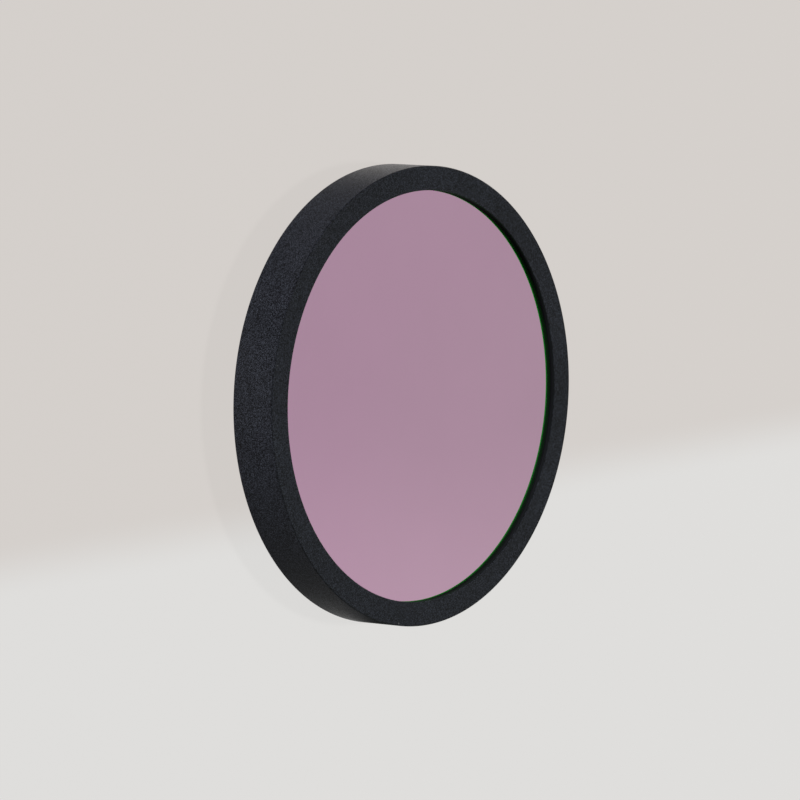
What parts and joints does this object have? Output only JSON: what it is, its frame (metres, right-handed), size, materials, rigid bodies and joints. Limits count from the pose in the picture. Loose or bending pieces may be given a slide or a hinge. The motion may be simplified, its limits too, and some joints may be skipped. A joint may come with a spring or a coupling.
{
  "type": "nebula filter",
  "caption": "Round mounted optical filter for viewing nebulae: a coated glass disc seated behind the thin front lip of a black cell and held by a slotted retaining ring.",
  "frame": {"origin": "centre of the rear rim, on which the filter lies", "axes": "+Z along the optical axis, out of the front with its thin lip and the coated side of the glass; +X through the retaining ring's first spanner slot"},
  "size_m": [0.0508, 0.0508, 0.0056],
  "materials": {
    "black_anodised_cell": "matte",
    "coated_glass": "polished",
    "black_anodised_ring": "satin"
  },
  "bodies": {
    "root": {"cell": "black_anodised_cell", "filter_glass": "coated_glass", "retaining_ring": "black_anodised_ring"}
  },
  "joints": []
}
